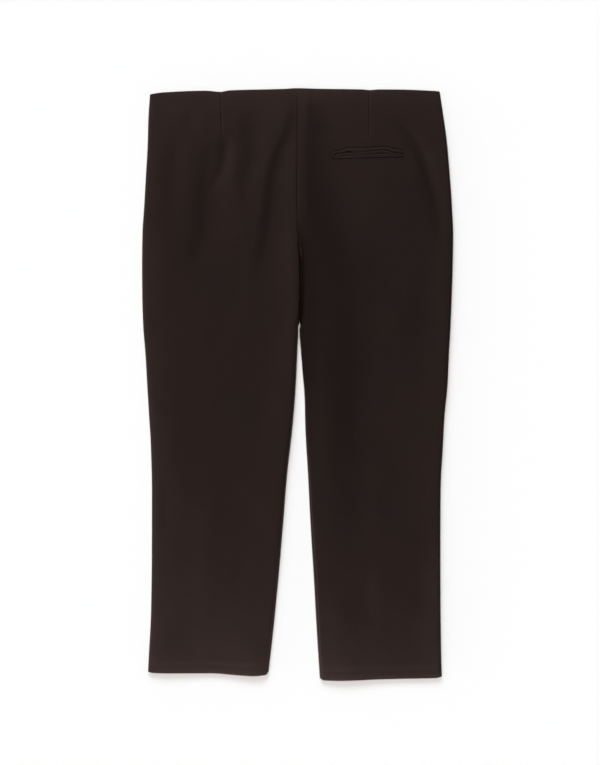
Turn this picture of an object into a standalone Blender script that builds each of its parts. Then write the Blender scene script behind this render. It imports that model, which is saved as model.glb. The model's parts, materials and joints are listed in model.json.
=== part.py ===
"""Pull-on capri pants in stretch cloth, laid flat on a table with the back side up.

Metres. +Z is up from the table, +Y runs from the hems to the waist and +X to the wearer's right.
The origin is on the table, at the middle of the garment's outline.

Each half is a flattened tube. The front panel lies on the table and turns up round the edges of its
leg. The back panel lies on it, from the inner seam to the side seam. Every panel is a wall between an
outer grid and an inner grid of points: a row for each station along Y, a column for each point across.
"""

import bpy
import numpy as np

# ---- Cloth ----
CLOTH = 0.0012  # thickness of one layer
SEAM_GAP = 0.0003  # between two pieces that are sewn together
LAYER_GAP = 0.0003  # between two layers that lie on each other
LOFT = 0.0048  # height of the upper side over the table, away from the folds
EDGE_REACH = 0.0030  # how far the rounded edge of a leg reaches inwards
RECESS_FLOOR = 0.0028  # height of the back's outer surface at the bottom of the recess

# ---- Stations along Y ----
WAIST_Y = 0.4310
WAIST_BAND = 0.0600  # over this length the rows bend to the waist edge, or to the hem
HEM_Y = -0.4240
RECESS_TOP = 0.2300  # above this the two backs meet at one level
RECESS_FULL = 0.2080  # below this the seam lies at the bottom of the recess
CROTCH_Y = 0.0945
LEGS_APART = 0.0785  # below this each leg is a tube of its own
FRONT_DIP = 0.0120  # how much lower the front waist is at its middle
DIP_FADES = (0.0200, 0.1850)  # from the middle, where the dip starts to fade and where it ends
ROWS = (
    0.4310, 0.4120, 0.3910, 0.3710, 0.3560, 0.3490, 0.3330, 0.3240, 0.3000, 0.2740, 0.2500,
    0.2300, 0.2200, 0.2080, 0.1830, 0.1510, 0.1180, 0.1010, 0.0945, 0.0890, 0.0840, 0.0785,
    0.0620, 0.0330, -0.0080, -0.0590, -0.1180, -0.1840, -0.2580, -0.3310, -0.3830, -0.4240,
)  # fmt: skip
POCKET_TOP_ROW = 5
POCKET_BOTTOM_ROW = 6

# ---- The outline of the two halves: y, x of the left side, x of the right side ----
SIDES = (
    (0.4300, -0.2167, 0.2090),
    (0.3960, -0.2188, 0.2140),
    (0.3520, -0.2201, 0.2197),
    (0.3080, -0.2226, 0.2234),
    (0.2640, -0.2251, 0.2265),
    (0.2200, -0.2278, 0.2284),
    (0.1750, -0.2284, 0.2278),
    (0.1310, -0.2281, 0.2264),
    (0.0870, -0.2267, 0.2246),
    (0.0430, -0.2233, 0.2221),
    (-0.0010, -0.2208, 0.2200),
    (-0.0450, -0.2181, 0.2157),
    (-0.0890, -0.2155, 0.2133),
    (-0.1550, -0.2139, 0.2099),
    (-0.2430, -0.2140, 0.2095),
    (-0.3310, -0.2151, 0.2098),
    (-0.3970, -0.2179, 0.2104),
    (-0.4310, -0.2190, 0.2112),
)

# ---- The inner edges: y, x of the left leg's edge, x of the right leg's edge, x of the seam ----
# Above the crotch they are the two brows of the recess, and the seam runs between them.
INNER = (
    (0.4310, -0.0006, -0.0006, -0.0006),
    (0.2300, -0.0004, 0.0004, -0.0004),
    (0.2120, 0.0007, 0.0071, 0.0028),
    (0.1900, 0.0012, 0.0115, 0.0040),
    (0.1680, 0.0015, 0.0134, 0.0044),
    (0.1390, 0.0018, 0.0137, 0.0046),
    (0.1170, 0.0019, 0.0119, 0.0045),
    (0.0980, 0.0019, 0.0078, 0.0040),
    (0.0800, 0.0010, 0.0040, 0.0025),
    (0.0650, 0.0007, 0.0032, 0.0020),
    (0.0430, -0.0006, 0.0051, 0.0020),
    (0.0210, -0.0015, 0.0066, 0.0020),
    (-0.0230, -0.0041, 0.0098, 0.0020),
    (-0.0670, -0.0081, 0.0113, 0.0020),
    (-0.1330, -0.0156, 0.0152, 0.0020),
    (-0.1990, -0.0210, 0.0185, 0.0020),
    (-0.2870, -0.0285, 0.0238, 0.0020),
    (-0.3750, -0.0373, 0.0288, 0.0020),
    (-0.4310, -0.0436, 0.0332, 0.0020),
)

# ---- Waist edge and hems, as x and y ----
WAIST_EDGE = (
    (-0.2170, 0.4260),
    (-0.1964, 0.4289),
    (-0.1347, 0.4312),
    (-0.0818, 0.4324),
    (-0.0201, 0.4339),
    (-0.0010, 0.4350),
    (0.0328, 0.4341),
    (0.0945, 0.4331),
    (0.1473, 0.4332),
    (0.2002, 0.4310),
    (0.2105, 0.4275),
)
HEM_EDGE = (
    (-0.2190, -0.4209),
    (-0.2111, -0.4237),
    (-0.1876, -0.4242),
    (-0.1259, -0.4240),
    (-0.0906, -0.4267),
    (-0.0642, -0.4281),
    (-0.0466, -0.4265),
    (-0.0429, -0.4223),
    (0.0328, -0.4317),
    (0.0386, -0.4345),
    (0.0621, -0.4350),
    (0.1209, -0.4329),
    (0.1738, -0.4317),
    (0.2032, -0.4310),
    (0.2112, -0.4289),
)

# ---- How far each seam lies over the leg's edge, along the cloth: y, side left, side right, inner ----
# Zero is on the edge itself, and more than zero is on the upper side.
SEAM_LAP = (
    (0.4310, -0.0005, 0.0010, -0.0010),
    (0.1300, -0.0005, 0.0010, -0.0010),
    (0.0600, -0.0005, 0.0026, -0.0008),
    (0.0000, -0.0005, 0.0060, 0.0000),
    (-0.0600, -0.0005, 0.0076, 0.0015),
    (-0.1840, -0.0005, 0.0076, 0.0045),
    (-0.3000, -0.0005, 0.0076, 0.0060),
    (-0.4310, -0.0005, 0.0076, 0.0060),
)

# ---- Darts of the back panels ----
DART_DEPTH = 0.0005
DART_HALF = 0.0020
DART_END_Y = 0.3560
DART_FADE = 0.0200
DARTS = {"left": (-0.1149, -0.1115), "right": (0.1040, 0.1047)}  # x at the waist, x at the end

# ---- Welt pocket: x, y of its upper seam, y of the slit, y of its lower seam ----
POCKET = (
    (0.0497, 0.3423, 0.3379, 0.3318),
    (0.0665, 0.3474, 0.3415, 0.3324),
    (0.0989, 0.3489, 0.3415, 0.3335),
    (0.1282, 0.3504, 0.3448, 0.3338),
    (0.1459, 0.3470, 0.3404, 0.3341),
    (0.1554, 0.3437, 0.3393, 0.3342),
)
POCKET_FADE = 0.0250  # beyond the pocket's ends, its rows straighten over this length
SLIT_HALF_ENDS = 0.0003
SLIT_HALF_MIDDLE = 0.0008
WELT_RISE = 0.0007  # of a welt's crown over the panel
WELT_SEAM_RISE = 0.0002  # of a welt beside its seam
WELT_ROUND = ((0.3, 1.0), (0.8, 1.0), (1.0, 0.7), (1.0, 0.3), (0.9, 0.0))  # shares across and up
WELT_END_STEPS = (SEAM_GAP, 0.0060, 0.0130)  # from each end of the pocket
FACING_OVERHANG = 0.0060  # past the pocket's ends
FACING_THICKNESS = 0.0008

# ---- Soft troughs of the back: y, x, half width, depth ----
FOLDS = {
    "left_seat": (
        (0.4180, -0.008, 0.011, 0.0),
        (0.3670, -0.020, 0.011, 0.0007),
        (0.3000, -0.041, 0.012, 0.0012),
        (0.2270, -0.050, 0.013, 0.0009),
        (0.1240, -0.067, 0.015, 0.0),
    ),
    "left_hip": (
        (0.3910, -0.102, 0.013, 0.0),
        (0.3120, -0.123, 0.014, 0.0010),
        (0.2780, -0.141, 0.016, 0.0008),
        (0.2050, -0.148, 0.018, 0.0006),
        (0.1390, -0.161, 0.018, 0.0),
    ),
    "right_seat": (
        (0.4180, 0.018, 0.012, 0.0),
        (0.3300, 0.028, 0.014, 0.0007),
        (0.2340, 0.046, 0.018, 0.0012),
        (0.1240, 0.068, 0.020, 0.0012),
        (0.0070, 0.071, 0.020, 0.0009),
        (-0.1260, 0.071, 0.020, 0.0006),
        (-0.2580, 0.074, 0.022, 0.0),
    ),
    "right_hip": (
        (0.4180, 0.127, 0.012, 0.0),
        (0.3440, 0.175, 0.013, 0.0008),
        (0.2930, 0.194, 0.012, 0.0009),
        (0.2490, 0.203, 0.012, 0.0006),
        (0.1610, 0.209, 0.012, 0.0),
    ),
}
# Soft ridges beside the recess, in the same columns. Their depth is less than zero.
BROWS = {
    "left_brow": (
        (0.2740, -0.012, 0.014, 0.0),
        (0.1830, -0.012, 0.016, -0.0008),
        (0.0890, -0.014, 0.016, -0.0007),
        (-0.1180, -0.034, 0.016, 0.0),
    ),
    "right_brow": (
        (0.2740, 0.010, 0.012, 0.0),
        (0.1830, 0.024, 0.014, -0.0008),
        (0.0890, 0.019, 0.014, -0.0007),
        (-0.1180, 0.030, 0.016, 0.0),
    ),
}

# ---- Columns of the back beside its inner seam ----
LEVEL_STEPS = (0.0, 0.0025, 0.0050, 0.0080, 0.0120, 0.0180)  # from the seam, where it is level
WALL_FOOT = 0.0015  # the recess wall starts this far outside its edge
FOOT_LEAST = 0.0006  # the least level cloth between the seam and the wall
WALL_STEPS = ((0.0000, 0.30), (0.0017, 0.70), (0.0035, 0.96))  # from the edge, share of the height
SHOULDER = 0.0080  # from the edge, where the wall has its full height
LAST_RECESS_STEP = 0.0120  # from the edge, the last of these columns
WRAP_STEPS = (0.0, 0.0013, 0.0026, 0.0042, 0.0070, 0.0130)  # along the cloth from the inner leg seam

# ---- The other columns, as distances from the middle ----
MIDDLE_COLUMNS = {
    "left": (0.033, 0.056, 0.080, -1, 0, 1, 0.137, 0.161, 0.185),
    "right": (0.033, 0.0497, 0.074, -1, 0, 1, 0.130, 0.1554, 0.180),
}  # -1, 0 and 1 are the two sides and the line of the dart
MIDDLE_FROM, MIDDLE_TO = 0.018, 0.208  # the stretch between the two ends, at the pocket
COLUMNS_FREE_Y, COLUMNS_HELD_Y = 0.2140, 0.3040  # above the second they keep to dart and pocket
POCKET_FIRST_COLUMN = 7
POCKET_LAST_COLUMN = 13
BACK_OUTER_COLUMNS = 5
BACK_OUTER_REACH = 0.0110  # of these columns over the upper side
FRONT_LEVEL_STEPS = (0.0, 0.0024, 0.0056, 0.0096, 0.0160)  # from the centre front seam
FRONT_SHARES = (0.25, 0.50, 0.75)
FRONT_OUTER_COLUMNS = 6
FLAT_REACH = 0.0080  # from an edge, along the underside, to where the table holds it

CLOTH_COLOUR = (0.026, 0.016, 0.014)
WELT_COLOUR = (0.024, 0.015, 0.013)
FACING_COLOUR = (0.014, 0.009, 0.008)
FRONT_COLOUR = (0.025, 0.015, 0.013)


def smooth_step(low, high, value):
    """0 at low and 1 at high, with no corner at either."""
    share = np.clip((value - low) / (high - low), 0.0, 1.0)
    return share * share * (3.0 - 2.0 * share)


def curve(rows, column, at):
    """Reads one column of a table at a place between its rows, on a curve that doesn't overshoot."""
    table = np.array(rows, dtype=float)
    table = table[np.argsort(table[:, 0])]
    places, values = table[:, 0], table[:, column]
    chords = np.diff(values) / np.diff(places)
    slopes = np.zeros(len(values))
    slopes[0], slopes[-1] = chords[0], chords[-1]
    for k in range(1, len(values) - 1):
        if chords[k - 1] * chords[k] > 0:
            slopes[k] = 2.0 * chords[k - 1] * chords[k] / (chords[k - 1] + chords[k])
    at = np.clip(np.asarray(at, dtype=float), places[0], places[-1])
    k = np.clip(np.searchsorted(places, at) - 1, 0, len(chords) - 1)
    width = places[k + 1] - places[k]
    t = (at - places[k]) / width
    return (
        values[k] * (1 + 2 * t) * (1 - t) ** 2
        + values[k + 1] * t * t * (3 - 2 * t)
        + width * slopes[k] * t * (1 - t) ** 2
        - width * slopes[k + 1] * t * t * (1 - t)
    )


def trough(rows, x, y):
    """Depth of one fold at a point: a soft valley about a line that follows the table."""
    places = [row[0] for row in rows]
    if y <= min(places) or y >= max(places):
        return 0.0
    middle = curve(rows, 1, y)
    half_width = curve(rows, 2, y)
    return float(curve(rows, 3, y) * np.exp(-(((x - middle) / half_width) ** 2)))


def dart_x(side, y):
    """The dart's line, from the waist to its end and then straight down."""
    at_waist, at_end = DARTS[side]
    return at_waist + (at_end - at_waist) * min(1.0, (WAIST_Y - y) / (WAIST_Y - DART_END_Y))


def top_height(x, y):
    """Height of the upper side's outer surface over the table."""
    height = LOFT
    for rows in (*FOLDS.values(), *BROWS.values()):
        height -= trough(rows, x, y)
    side = "left" if x < 0 else "right"
    near_line = 1.0 - min(1.0, abs(x - dart_x(side, y)) / DART_HALF)
    fade = float(smooth_step(DART_END_Y, DART_END_Y + DART_FADE, y))
    return height - DART_DEPTH * near_line * fade


class Half:
    """One half of the garment at one station. Across it, u is the distance from the middle."""

    def __init__(self, side, y):
        self.side, self.y = side, y
        self.sign = -1.0 if side == "left" else 1.0
        column = 1 if side == "left" else 2
        self.outer = self.sign * float(curve(SIDES, column, y))
        self.inner = self.sign * float(curve(INNER, column, y))
        self.seam = self.sign * float(curve(INNER, 3, y))
        self.side_lap = float(curve(SEAM_LAP, column, y))
        self.inner_lap = float(curve(SEAM_LAP, 3, y))

    def top(self, u):
        return top_height(self.sign * u, self.y)

    def edge(self, at, inward, distances):
        """Points and outward normals on the round edge at u = at, by their distance along the cloth.

        Zero is the edge itself, and the upper side is more than zero. inward is the direction of the
        material: 1 on the inner edge and -1 on the outer one."""
        half_height = 0.5 * self.top(at + inward * EDGE_REACH)
        turn = np.linspace(-np.pi / 2, np.pi / 2, 49)
        run = np.linspace(0.001, 0.036, 36)
        u = at + inward * EDGE_REACH * (1.0 - np.cos(turn))
        z = half_height * (1.0 + np.sin(turn))
        flat_u = at + inward * (EDGE_REACH + run)
        top_z = np.array([self.top(value) for value in flat_u])
        u = np.concatenate((flat_u[::-1], u, flat_u))
        z = np.concatenate((np.zeros(len(run)), z, top_z))
        length = np.concatenate(([0.0], np.cumsum(np.hypot(np.diff(u), np.diff(z)))))
        length -= length[len(run) + len(turn) // 2]
        tangent = np.gradient(np.stack((u, z), axis=1), length, axis=0)
        tangent /= np.linalg.norm(tangent, axis=1)[:, None]
        points = np.stack((np.interp(distances, length, u), np.interp(distances, length, z)), axis=1)
        along = np.stack([np.interp(distances, length, tangent[:, k]) for k in (0, 1)], axis=1)
        normals = inward * np.stack((-along[:, 1], along[:, 0]), axis=1)
        return points, normals / np.linalg.norm(normals, axis=1)[:, None]


def upward(points):
    """Normals of a line of points that runs outwards on the upper side."""
    tangent = np.gradient(points, axis=0)
    normals = np.stack((-tangent[:, 1], tangent[:, 0]), axis=1)
    normals[0] = (0.0, 1.0)
    return normals / np.linalg.norm(normals, axis=1)[:, None]


def layers(points, normals):
    """The outer line and the inner line of a wall."""
    return np.stack((points, points - CLOTH * normals))


def back_inner_end(half):
    """The back panel beside its inner seam: level, then down into the recess, then round the leg."""
    gap = SEAM_GAP / 2
    level_u = half.seam + gap + np.array(LEVEL_STEPS)
    level = np.array([(u, half.top(u)) for u in level_u])
    level = layers(level, upward(level))

    start = half.seam + gap
    foot = max(half.inner - WALL_FOOT, start + FOOT_LEAST)
    rise = half.top(half.inner + SHOULDER) - RECESS_FLOOR
    recess = [(start, RECESS_FLOOR), (foot, RECESS_FLOOR)]
    recess += [(max(half.inner, foot) + u, RECESS_FLOOR + share * rise) for u, share in WALL_STEPS]
    last = half.inner + LAST_RECESS_STEP
    recess = np.array([*recess, (last, half.top(last))])
    recess = layers(recess, upward(recess))

    wrapped = layers(*half.edge(half.inner, 1.0, half.inner_lap + gap + np.array(WRAP_STEPS)))

    into_recess = smooth_step(-RECESS_TOP, -RECESS_FULL, -half.y)
    apart = smooth_step(-CROTCH_Y, -LEGS_APART, -half.y)
    above = level + into_recess * (recess - level)
    return above + apart * (wrapped - above)


def back_outer_end(half):
    """The back panel beside its side seam, from the middle outwards."""
    start = half.side_lap + SEAM_GAP / 2
    steps = np.linspace(max(start, 0.0) + BACK_OUTER_REACH, start, BACK_OUTER_COLUMNS)
    return layers(*half.edge(half.outer, -1.0, steps))


def middle_columns(half, first, last):
    """Places of the columns between the two ends. They keep to the dart and the pocket near the waist."""
    dart = half.sign * dart_x(half.side, half.y)
    fixed = []
    for value in MIDDLE_COLUMNS[half.side]:
        fixed.append(dart + value * DART_HALF if value in (-1, 0, 1) else value)
    fixed = np.array(fixed)
    shares = (fixed - MIDDLE_FROM) / (MIDDLE_TO - MIDDLE_FROM)
    spread = first + shares * (last - first)
    keep = smooth_step(COLUMNS_FREE_Y, COLUMNS_HELD_Y, half.y)
    return spread + keep * (fixed - spread)


def back_section(side, y):
    """The outer and the inner line of a back panel, from its inner seam to its side seam."""
    half = Half(side, y)
    inner_end, outer_end = back_inner_end(half), back_outer_end(half)
    middle_u = middle_columns(half, inner_end[0][-1][0], outer_end[0][0][0])
    middle = np.array([(u, half.top(u)) for u in middle_u])
    neighbours = np.concatenate((inner_end[0][-1:], middle, outer_end[0][:1]))
    middle = layers(middle, upward(neighbours)[1:-1])
    return np.concatenate((inner_end, middle, outer_end), axis=1)


def front_section(side, y):
    """The outer and the inner line of a front panel, from its inner seam to its side seam."""
    half = Half(side, y)
    gap = SEAM_GAP / 2
    down = np.array((0.0, -1.0))
    level_u = half.seam + gap + np.array(FRONT_LEVEL_STEPS)
    level = np.stack((level_u, np.zeros(len(level_u))), axis=1)
    level = layers(level, np.tile(down, (len(level_u), 1)))
    wrap = np.linspace(half.inner_lap - gap, -FLAT_REACH, len(FRONT_LEVEL_STEPS))
    wrapped = layers(*half.edge(half.inner, 1.0, wrap))
    apart = smooth_step(-CROTCH_Y, -LEGS_APART, -half.y)
    inner_end = level + apart * (wrapped - level)

    wrap = np.linspace(-FLAT_REACH, half.side_lap - gap, FRONT_OUTER_COLUMNS)
    outer_end = layers(*half.edge(half.outer, -1.0, wrap))
    first, last = inner_end[0][-1][0], outer_end[0][0][0]
    middle_u = first + np.array(FRONT_SHARES) * (last - first)
    middle = np.stack((middle_u, np.zeros(len(middle_u))), axis=1)
    middle = layers(middle, np.tile(down, (len(middle_u), 1)))
    return np.concatenate((inner_end, middle, outer_end), axis=1)


def front_dip(x):
    """How much lower the front waist edge is than the back one, nothing near the side seams."""
    return FRONT_DIP * float(1.0 - smooth_step(*DIP_FADES, abs(x)))


def pocket_shift(row, x):
    """How far a pocket row bends from its station, to follow the pocket's seam."""
    if row not in (POCKET_TOP_ROW, POCKET_BOTTOM_ROW):
        return 0.0
    column = 1 if row == POCKET_TOP_ROW else 3
    beyond = max(POCKET[0][0] - x, x - POCKET[-1][0], 0.0)
    return float((curve(POCKET, column, x) - ROWS[row]) * (1.0 - smooth_step(0.0, POCKET_FADE, beyond)))


def place(section, side, row, is_front):
    """Sets a section in its row: the rows near the waist and the hems bend to the cut edge."""
    sign = -1.0 if side == "left" else 1.0
    y = ROWS[row]
    near_waist = float(smooth_step(WAIST_Y - WAIST_BAND, WAIST_Y, y))
    near_hem = float(smooth_step(-HEM_Y - WAIST_BAND, -HEM_Y, -y))
    placed = []
    for u, z in section:
        x = sign * u
        shift = near_waist * (float(curve(WAIST_EDGE, 1, x)) - WAIST_Y)
        shift += near_hem * (float(curve(HEM_EDGE, 1, x)) - HEM_Y)
        if is_front:
            shift -= near_waist * front_dip(x)
        elif side == "right":
            shift += pocket_shift(row, x)
        placed.append((x, y + shift, z))
    return placed


def panel_grids(section, side, is_front):
    """The outer and the inner grid of a panel: a row for each station and a column for each point."""
    outer, inner = [], []
    for row, y in enumerate(ROWS):
        lines = section(side, y)
        outer.append(place(lines[0], side, row, is_front))
        inner.append(place(lines[1], side, row, is_front))
    return np.array(outer), np.array(inner)


def new_material(name, colour):
    material = bpy.data.materials.new(name)
    material.use_nodes = True
    shader = material.node_tree.nodes["Principled BSDF"]
    shader.inputs["Base Color"].default_value = (*colour, 1.0)
    shader.inputs["Roughness"].default_value = 0.85
    shader.inputs["Metallic"].default_value = 0.0
    return material


def new_object(name, points, faces, colour, parent):
    """A closed body with its faces pointing out."""
    volume = 0.0
    for face in faces:
        for k in range(1, len(face) - 1):
            a, b, c = (points[face[0]], points[face[k]], points[face[k + 1]])
            volume += float(np.dot(a, np.cross(b, c)))
    if volume < 0:
        faces = [tuple(reversed(face)) for face in faces]
    mesh = bpy.data.meshes.new(name)
    mesh.from_pydata([tuple(point) for point in points], [], faces)
    mesh.update()
    mesh.shade_smooth()
    mesh.set_sharp_from_angle(angle=0.9)
    mesh.materials.append(new_material(name, colour))
    made = bpy.data.objects.new(name, mesh)
    bpy.context.scene.collection.objects.link(made)
    made.parent = parent
    return made


def wall(name, outer, inner, colour, parent, hole=()):
    """A closed wall between two grids of points. hole holds the cells, as row and column, that are open."""
    rows, columns = outer.shape[:2]
    points = np.concatenate((outer.reshape(-1, 3), inner.reshape(-1, 3)))
    under = rows * columns
    cells = {(r, c) for r in range(rows - 1) for c in range(columns - 1)} - set(hole)
    faces = []
    for r, c in sorted(cells):
        a, b = r * columns + c, r * columns + c + 1
        d, e = a + columns, b + columns
        faces.append((a, b, e, d))
        faces.append((under + d, under + e, under + b, under + a))
        beside = (((r - 1, c), a, b), ((r + 1, c), e, d), ((r, c - 1), d, a), ((r, c + 1), b, e))
        for p, q in [(p, q) for cell, p, q in beside if cell not in cells]:
            # Both pieces at a seam split their cut faces along the same diagonal, so these stay parallel.
            if p < q:
                faces += [(q, p, under + q), (p, under + p, under + q)]
            else:
                faces += [(q, p, under + p), (q, under + p, under + q)]
    used = sorted({k for face in faces for k in face})
    renumber = {old: new for new, old in enumerate(used)}
    faces = [tuple(renumber[k] for k in face) for face in faces]
    return new_object(name, points[used], faces, colour, parent)


def loft(name, rings, colour, parent):
    """A closed body through rings of as many points each, with a flat cap at both ends."""
    count = len(rings[0])
    points = np.array([point for ring in rings for point in ring])
    faces = []
    for k in range(len(rings) - 1):
        for n in range(count):
            m = (n + 1) % count
            faces.append((k * count + n, k * count + m, (k + 1) * count + m, (k + 1) * count + n))
    faces.append(tuple(reversed(range(count))))
    faces.append(tuple(range((len(rings) - 1) * count, len(rings) * count)))
    return new_object(name, points, faces, colour, parent)


def welt_rings(outer, is_upper):
    """Sections of one pocket welt, at the panel's own columns between the ends of the pocket."""
    x_first, x_last = POCKET[0][0], POCKET[-1][0]
    ends = [x_first + d for d in WELT_END_STEPS] + [x_last - d for d in WELT_END_STEPS]
    top_line = outer[POCKET_TOP_ROW, POCKET_FIRST_COLUMN : POCKET_LAST_COLUMN + 1]
    bottom_line = outer[POCKET_BOTTOM_ROW, POCKET_FIRST_COLUMN : POCKET_LAST_COLUMN + 1]
    rings = []
    for x in sorted([*ends, *top_line[1:-1, 0]]):
        seam_top = [float(np.interp(x, top_line[:, 0], top_line[:, k])) for k in (1, 2)]
        seam_bottom = [float(np.interp(x, bottom_line[:, 0], bottom_line[:, k])) for k in (1, 2)]
        surface = 0.5 * (seam_top[1] + seam_bottom[1])
        share = (x - x_first) / (x_last - x_first)
        half_slit = SLIT_HALF_ENDS + (SLIT_HALF_MIDDLE - SLIT_HALF_ENDS) * np.sin(np.pi * share)
        slit = float(curve(POCKET, 2, x))
        if is_upper:
            seam_y, slit_y = seam_top[0] - SEAM_GAP, slit + half_slit
        else:
            seam_y, slit_y = seam_bottom[0] + SEAM_GAP, slit - half_slit
        low = surface - CLOTH
        height = CLOTH + WELT_RISE
        section = [(0.0, 0.0), (0.0, CLOTH + WELT_SEAM_RISE)]
        section += [(share_across, share_up * height) for share_across, share_up in WELT_ROUND]
        rings.append([(x, seam_y + a * (slit_y - seam_y), low + b) for a, b in section])
    return np.array(rings)


def facing_grids(inner):
    """The facing lies under the panel's own points round the pocket."""
    rows = slice(POCKET_TOP_ROW - 1, POCKET_BOTTOM_ROW + 2)
    columns = slice(POCKET_FIRST_COLUMN - 1, POCKET_LAST_COLUMN + 2)
    upper = inner[rows, columns].copy()
    upper[:, 0, 0] = upper[:, 1, 0] - FACING_OVERHANG
    upper[:, -1, 0] = upper[:, -2, 0] + FACING_OVERHANG
    upper[:, :, 2] -= LAYER_GAP
    lower = upper.copy()
    lower[:, :, 2] -= FACING_THICKNESS
    return upper, lower


def build():
    for old in list(bpy.data.objects):
        bpy.data.objects.remove(old, do_unlink=True)
    garment = bpy.data.objects.new("garment", None)
    bpy.context.scene.collection.objects.link(garment)
    hole = [(POCKET_TOP_ROW, c) for c in range(POCKET_FIRST_COLUMN, POCKET_LAST_COLUMN)]
    for side in ("left", "right"):
        outer, inner = panel_grids(front_section, side, is_front=True)
        wall(f"front_{side}", outer, inner, FRONT_COLOUR, garment)
        outer, inner = panel_grids(back_section, side, is_front=False)
        wall(f"back_{side}", outer, inner, CLOTH_COLOUR, garment, hole if side == "right" else ())
    loft("pocket_welt_upper", welt_rings(outer, is_upper=True), WELT_COLOUR, garment)
    loft("pocket_welt_lower", welt_rings(outer, is_upper=False), WELT_COLOUR, garment)
    upper, lower = facing_grids(inner)
    wall("pocket_facing", upper, lower, FACING_COLOUR, garment)


build()
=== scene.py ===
"""The finished look of pull-on capri pants in dark brown stretch cloth, laid flat with the back side up.

Metres, in the frame of the CAD part: +Z is up from the table, +Y runs from the hems to the waist and +X
to the wearer's right. Only the tables inside metres() are written in millimetres. Each half of the
garment is a flattened tube. Its back panel and its front panel are thin closed walls, made from a grid
of rows along Y and columns across. Across a half, u is the distance from the garment's middle.
"""

import json
from functools import lru_cache

import bpy
import numpy as np
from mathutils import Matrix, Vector

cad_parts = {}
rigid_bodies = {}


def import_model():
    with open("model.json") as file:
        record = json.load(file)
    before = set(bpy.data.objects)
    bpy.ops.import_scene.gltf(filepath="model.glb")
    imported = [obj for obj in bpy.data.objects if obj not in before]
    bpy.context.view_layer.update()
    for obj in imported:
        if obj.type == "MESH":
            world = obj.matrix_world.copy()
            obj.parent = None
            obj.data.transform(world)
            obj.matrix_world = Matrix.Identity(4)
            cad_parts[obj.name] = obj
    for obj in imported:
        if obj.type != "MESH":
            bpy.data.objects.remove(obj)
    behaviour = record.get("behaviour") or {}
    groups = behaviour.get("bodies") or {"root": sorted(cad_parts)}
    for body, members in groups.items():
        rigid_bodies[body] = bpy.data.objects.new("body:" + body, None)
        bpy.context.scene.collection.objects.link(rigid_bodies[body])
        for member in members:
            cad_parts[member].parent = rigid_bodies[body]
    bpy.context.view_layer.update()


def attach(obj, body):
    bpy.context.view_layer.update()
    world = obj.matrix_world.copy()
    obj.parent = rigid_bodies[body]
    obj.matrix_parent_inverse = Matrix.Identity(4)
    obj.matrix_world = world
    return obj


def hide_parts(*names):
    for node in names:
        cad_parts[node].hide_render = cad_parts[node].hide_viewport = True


def metres(table):
    """Turns a table of rows in millimetres, or a dictionary of such tables, into metres."""
    if isinstance(table, dict):
        return {name: metres(rows) for name, rows in table.items()}
    return tuple(tuple(round(0.001 * value, 7) for value in row) for row in table)


# ---- The photograph's frame ----
PICTURE_PX = (600, 765)
METRES_PER_PX = 0.001469
ORIGIN_PX = (297.7, 384.5)  # the pixel over the origin
CAMERA_HEIGHT = 6.0
SENSOR_MM = 36.0

# ---- Cloth ----
CLOTH = 0.0010  # its thickness
SEAM_GAP = 0.00006
HEM_DEPTH = 0.0160
WAIST_TURN = 0.0300
FOLDED = 0.0021  # thickness of cloth that is turned in
FOLDED_FADE = 0.0008  # stretch over which it thins out to one layer
EDGE_HEIGHT = 0.0047  # of the upper side along its edges
LOFT_RISE = 0.0038  # from there to the middle of the cloth
EDGE_REACH = {"left": 0.0036, "right": 0.0018, "inner": 0.0028}  # of the round edge itself
SOFT_REACH = {"left": 0.0078, "right": 0.0008, "inner": 0.0020}  # of the slope beside it
WAIST_FALL = ((0.50, 0.0220), (0.35, 0.0060))  # share of the loft lost at the waist, and its reach
HEM_FALL = ((0.45, 0.0160), (0.40, 0.0050))  # and the same at the hems
EDGE_MIDDLE = 0.45  # height of the outermost line, as a share of the edge's height
EDGE_TURN_POINTS = 33
EDGE_FLAT = (0.0006, 0.0300, 50)  # the points that follow the round edge: from, to, number
CALM_REACH = 0.0200  # beside the sides the soft shapes are lower
CALM_SHARE = 0.3  # and this much is left of them at the very side

# ---- Stations along Y ----
WAIST_Y = 0.4310
HEM_Y = -0.4240
END_BAND = 0.0600  # beside the waist and the hems the rows bend to follow the edge
RECESS_TOP = 0.2300
CROTCH_Y = 0.0945
LEGS_APART = 0.0785  # from here down each leg's cloth turns right round its inner edge
LEGS_ROUND = (CROTCH_Y + 0.0200, CROTCH_Y - 0.0500)  # y between which the inner edges grow soft
POCKET_TOP_Y = 0.3460
POCKET_BOTTOM_Y = 0.3335
STRETCHES = (
    (HEM_Y, HEM_Y + 0.0200, 22),
    (HEM_Y + 0.0200, POCKET_BOTTOM_Y - 0.0060, 236),
    (POCKET_BOTTOM_Y - 0.0060, POCKET_BOTTOM_Y, 7),
    (POCKET_BOTTOM_Y, POCKET_TOP_Y, 8),
    (POCKET_TOP_Y, POCKET_TOP_Y + 0.0060, 7),
    (POCKET_TOP_Y + 0.0060, WAIST_Y - 0.0100, 24),
    (WAIST_Y - 0.0100, WAIST_Y, 11),
)  # from, to, number of rows
ROUND_TURNS = (20.0, 42.0, 64.0, 84.0)  # degrees, rows that round a turned-in edge
FRONT_DIP = 0.0120  # the front waist edge is lower than the back one by this much in the middle
DIP_FADES = (0.0200, 0.1850)  # distances from the middle between which that fades

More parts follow.
